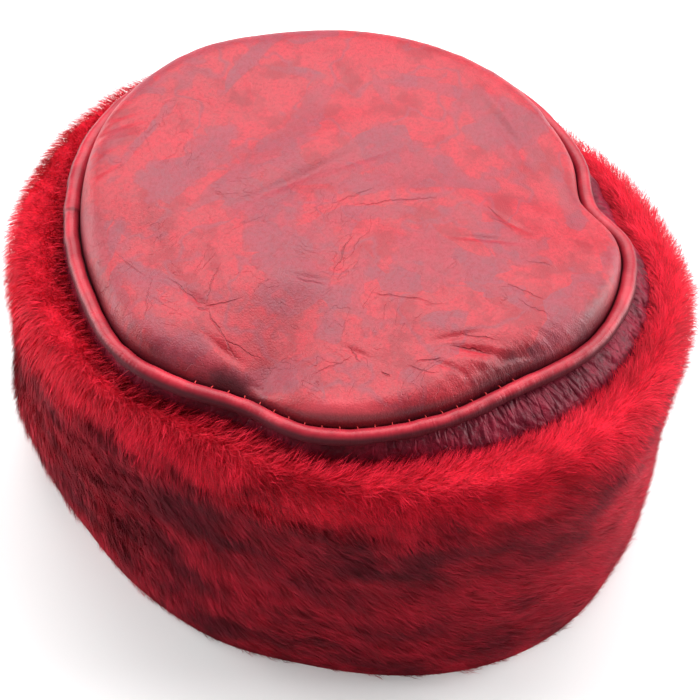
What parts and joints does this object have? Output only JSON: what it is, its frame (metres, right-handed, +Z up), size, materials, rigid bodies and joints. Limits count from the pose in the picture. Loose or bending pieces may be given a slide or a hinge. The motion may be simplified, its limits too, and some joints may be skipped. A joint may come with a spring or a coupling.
{
  "type": "kubanka hat",
  "caption": "Low oval hat: a puffed leather crown with a corded seam above a gathered leather strip, and a thick band of short fur round a hollow for the head.",
  "frame": {"origin": "middle of the hat's footprint, on the plane that the hem of the fur band rests on", "axes": "+Z up out of the crown, -Y towards the wearer's front, +X to the wearer's left"},
  "size_m": [0.2168, 0.2458, 0.1314],
  "materials": {
    "crown_leather": "satin, mottled red",
    "piping_leather": "satin",
    "side_leather": "satin, dark red",
    "fur": "short dense fur"
  },
  "bodies": {
    "root": {"crown_top": "crown_leather", "piping": "piping_leather", "crown_side": "side_leather", "fur_band": "fur"}
  },
  "joints": []
}
